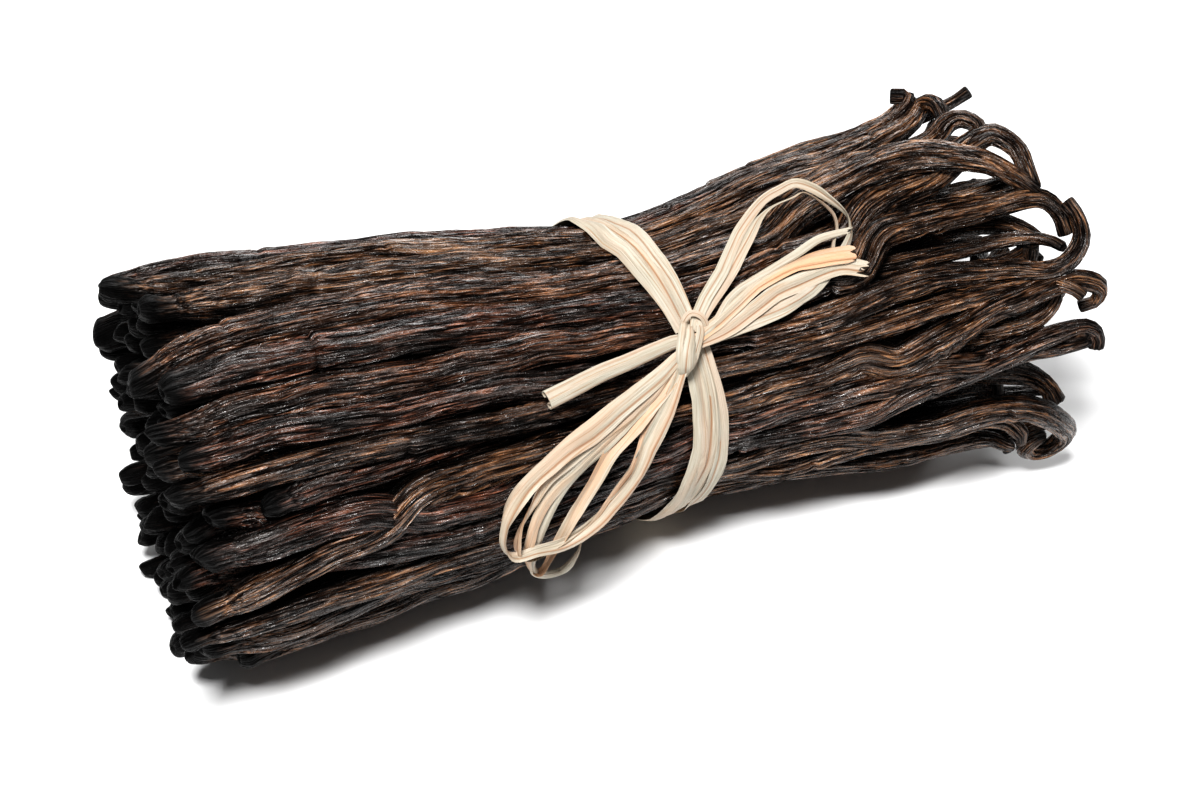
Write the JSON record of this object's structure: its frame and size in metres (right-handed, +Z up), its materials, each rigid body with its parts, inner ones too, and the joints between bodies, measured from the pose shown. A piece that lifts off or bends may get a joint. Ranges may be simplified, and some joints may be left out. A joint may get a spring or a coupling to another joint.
{
  "type": "bundle of vanilla pods",
  "caption": "Bundle of cured vanilla pods lying on its side, blunt tips at one end and curled stalks at the other, tied round the waist with a raffia bow.",
  "frame": {"origin": "middle of the bundle's outer box, on the surface it rests on", "axes": "+X along the pods, from the blunt tips to the curled stalks; +Z up; the bow is on the -Y side, half way up"},
  "size_m": [0.185, 0.075, 0.0712],
  "materials": {
    "pods": "oily, wrinkled, satin",
    "raffia": "dry fibre, matt"
  },
  "bodies": {
    "root": {"pods": "pods", "raffia_tie": "raffia"}
  },
  "joints": []
}
